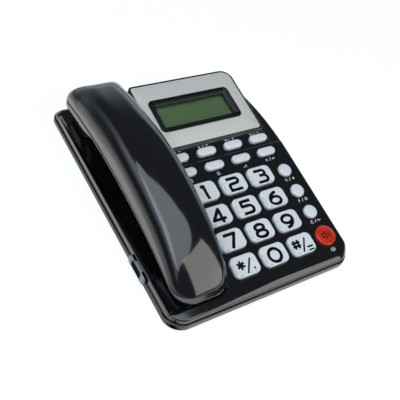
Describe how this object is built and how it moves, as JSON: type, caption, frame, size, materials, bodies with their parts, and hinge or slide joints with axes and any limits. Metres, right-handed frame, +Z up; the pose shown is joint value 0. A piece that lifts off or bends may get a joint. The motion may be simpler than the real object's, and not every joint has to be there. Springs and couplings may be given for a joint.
{
  "type": "corded telephone",
  "caption": "Corded desk telephone: a low black base with a display, large square number keys, round and pill keys, and a handset resting on a tray beside the keypad.",
  "frame": {"origin": "middle of the base's box, on the table under its feet", "axes": "+X to the right of a person at the phone, +Y to its back, +Z up"},
  "size_m": [0.165, 0.216, 0.0613],
  "materials": {
    "black_case": "polished black moulding",
    "black_base": "black moulding",
    "silver_panel": "satin silver paint on plastic",
    "pale_key": "pale bluish-white moulding",
    "red_key": "orange-red moulding",
    "clear_window": "clear plastic window",
    "display_glass": "grey-green unlit display",
    "circuit_board": "green solder mask",
    "grey_rubber": "moulded rubber",
    "steel": "zinc-plated steel",
    "metal_can": "drawn metal can",
    "speaker_frame": "black painted frame",
    "smoke_plastic": "smoke-grey moulding"
  },
  "bodies": {
    "base": {"upper_case": "black_case", "lower_case": "black_base", "display_panel": "silver_panel", "display_bezel": "black_case", "display_window": "clear_window", "lcd_glass": "display_glass", "lcd_board": "circuit_board", "keypad_mat": "grey_rubber", "main_board": "circuit_board", "board_screws": "steel", "loudspeaker": "speaker_frame", "handsfree_microphone": "metal_can", "hook_spring": "steel", "hook_switch": "black_base", "handset_jack": "smoke_plastic", "line_jack": "black_base", "case_screws": "steel", "rubber_feet": "grey_rubber"},
    "handset": {"handset_top_shell": "black_case", "handset_bottom_shell": "black_case", "ear_capsule": "metal_can", "handset_microphone": "metal_can", "handset_weight": "steel", "handset_socket": "smoke_plastic", "handset_screws": "steel"},
    "hook": {"hook_plunger": "pale_key"},
    "key_1": {"key_1": "pale_key"},
    "key_2": {"key_2": "pale_key"},
    "key_3": {"key_3": "pale_key"},
    "key_4": {"key_4": "pale_key"},
    "key_5": {"key_5": "pale_key"},
    "key_6": {"key_6": "pale_key"},
    "key_7": {"key_7": "pale_key"},
    "key_8": {"key_8": "pale_key"},
    "key_9": {"key_9": "pale_key"},
    "key_star": {"key_star": "pale_key"},
    "key_0": {"key_0": "pale_key"},
    "key_hash": {"key_hash": "pale_key"},
    "function_key_1": {"function_key_1": "pale_key"},
    "function_key_2": {"function_key_2": "pale_key"},
    "function_key_3": {"function_key_3": "pale_key"},
    "function_key_4": {"function_key_4": "pale_key"},
    "function_key_5": {"function_key_5": "pale_key"},
    "function_key_6": {"function_key_6": "pale_key"},
    "function_key_7": {"function_key_7": "pale_key"},
    "function_key_8": {"function_key_8": "pale_key"},
    "side_key_1": {"side_key_1": "pale_key"},
    "side_key_2": {"side_key_2": "pale_key"},
    "side_key_3": {"side_key_3": "pale_key"},
    "red_key": {"red_key": "red_key"}
  },
  "joints": [
    {"name": "handset_lift", "type": "slide", "parent": "base", "child": "handset", "axis": [0, 0, 1], "range_m": [0, 0.12]},
    {"name": "hook_rise", "type": "slide", "parent": "base", "child": "hook", "axis": [0, 0, 1], "range_m": [0, 0.004], "deforming": ["hook_spring"]},
    {"name": "key_1_press", "type": "slide", "parent": "base", "child": "key_1", "axis": [0, -0.1392, 0.9903], "range_m": [-0.0015, 0], "stiffness_N_per_m": 400},
    {"name": "key_2_press", "type": "slide", "parent": "base", "child": "key_2", "axis": [0, -0.1392, 0.9903], "range_m": [-0.0015, 0], "stiffness_N_per_m": 400},
    {"name": "key_3_press", "type": "slide", "parent": "base", "child": "key_3", "axis": [0, -0.1392, 0.9903], "range_m": [-0.0015, 0], "stiffness_N_per_m": 400},
    {"name": "key_4_press", "type": "slide", "parent": "base", "child": "key_4", "axis": [0, -0.1392, 0.9903], "range_m": [-0.0015, 0], "stiffness_N_per_m": 400},
    {"name": "key_5_press", "type": "slide", "parent": "base", "child": "key_5", "axis": [0, -0.1392, 0.9903], "range_m": [-0.0015, 0], "stiffness_N_per_m": 400},
    {"name": "key_6_press", "type": "slide", "parent": "base", "child": "key_6", "axis": [0, -0.1392, 0.9903], "range_m": [-0.0015, 0], "stiffness_N_per_m": 400},
    {"name": "key_7_press", "type": "slide", "parent": "base", "child": "key_7", "axis": [0, -0.1392, 0.9903], "range_m": [-0.0015, 0], "stiffness_N_per_m": 400},
    {"name": "key_8_press", "type": "slide", "parent": "base", "child": "key_8", "axis": [0, -0.1392, 0.9903], "range_m": [-0.0015, 0], "stiffness_N_per_m": 400},
    {"name": "key_9_press", "type": "slide", "parent": "base", "child": "key_9", "axis": [0, -0.1392, 0.9903], "range_m": [-0.0015, 0], "stiffness_N_per_m": 400},
    {"name": "key_star_press", "type": "slide", "parent": "base", "child": "key_star", "axis": [0, -0.1392, 0.9903], "range_m": [-0.0015, 0], "stiffness_N_per_m": 400},
    {"name": "key_0_press", "type": "slide", "parent": "base", "child": "key_0", "axis": [0, -0.1392, 0.9903], "range_m": [-0.0015, 0], "stiffness_N_per_m": 400},
    {"name": "key_hash_press", "type": "slide", "parent": "base", "child": "key_hash", "axis": [0, -0.1392, 0.9903], "range_m": [-0.0015, 0], "stiffness_N_per_m": 400},
    {"name": "function_key_1_press", "type": "slide", "parent": "base", "child": "function_key_1", "axis": [0, -0.1392, 0.9903], "range_m": [-0.0015, 0], "stiffness_N_per_m": 400},
    {"name": "function_key_2_press", "type": "slide", "parent": "base", "child": "function_key_2", "axis": [0, -0.1392, 0.9903], "range_m": [-0.0015, 0], "stiffness_N_per_m": 400},
    {"name": "function_key_3_press", "type": "slide", "parent": "base", "child": "function_key_3", "axis": [0, -0.1392, 0.9903], "range_m": [-0.0015, 0], "stiffness_N_per_m": 400},
    {"name": "function_key_4_press", "type": "slide", "parent": "base", "child": "function_key_4", "axis": [0, -0.1392, 0.9903], "range_m": [-0.0015, 0], "stiffness_N_per_m": 400},
    {"name": "function_key_5_press", "type": "slide", "parent": "base", "child": "function_key_5", "axis": [0, -0.1392, 0.9903], "range_m": [-0.0015, 0], "stiffness_N_per_m": 400},
    {"name": "function_key_6_press", "type": "slide", "parent": "base", "child": "function_key_6", "axis": [0, -0.1392, 0.9903], "range_m": [-0.0015, 0], "stiffness_N_per_m": 400},
    {"name": "function_key_7_press", "type": "slide", "parent": "base", "child": "function_key_7", "axis": [0, -0.1392, 0.9903], "range_m": [-0.0015, 0], "stiffness_N_per_m": 400},
    {"name": "function_key_8_press", "type": "slide", "parent": "base", "child": "function_key_8", "axis": [0, -0.1392, 0.9903], "range_m": [-0.0015, 0], "stiffness_N_per_m": 400},
    {"name": "side_key_1_press", "type": "slide", "parent": "base", "child": "side_key_1", "axis": [0, -0.1392, 0.9903], "range_m": [-0.0015, 0], "stiffness_N_per_m": 400},
    {"name": "side_key_2_press", "type": "slide", "parent": "base", "child": "side_key_2", "axis": [0, -0.1392, 0.9903], "range_m": [-0.0015, 0], "stiffness_N_per_m": 400},
    {"name": "side_key_3_press", "type": "slide", "parent": "base", "child": "side_key_3", "axis": [0, -0.1392, 0.9903], "range_m": [-0.0015, 0], "stiffness_N_per_m": 400},
    {"name": "red_key_press", "type": "slide", "parent": "base", "child": "red_key", "axis": [0, -0.1392, 0.9903], "range_m": [-0.0015, 0], "stiffness_N_per_m": 400}
  ],
  "couplings": [
    {"joint": "hook_rise", "follows": "handset_lift", "ratio": 0.0333}
  ]
}
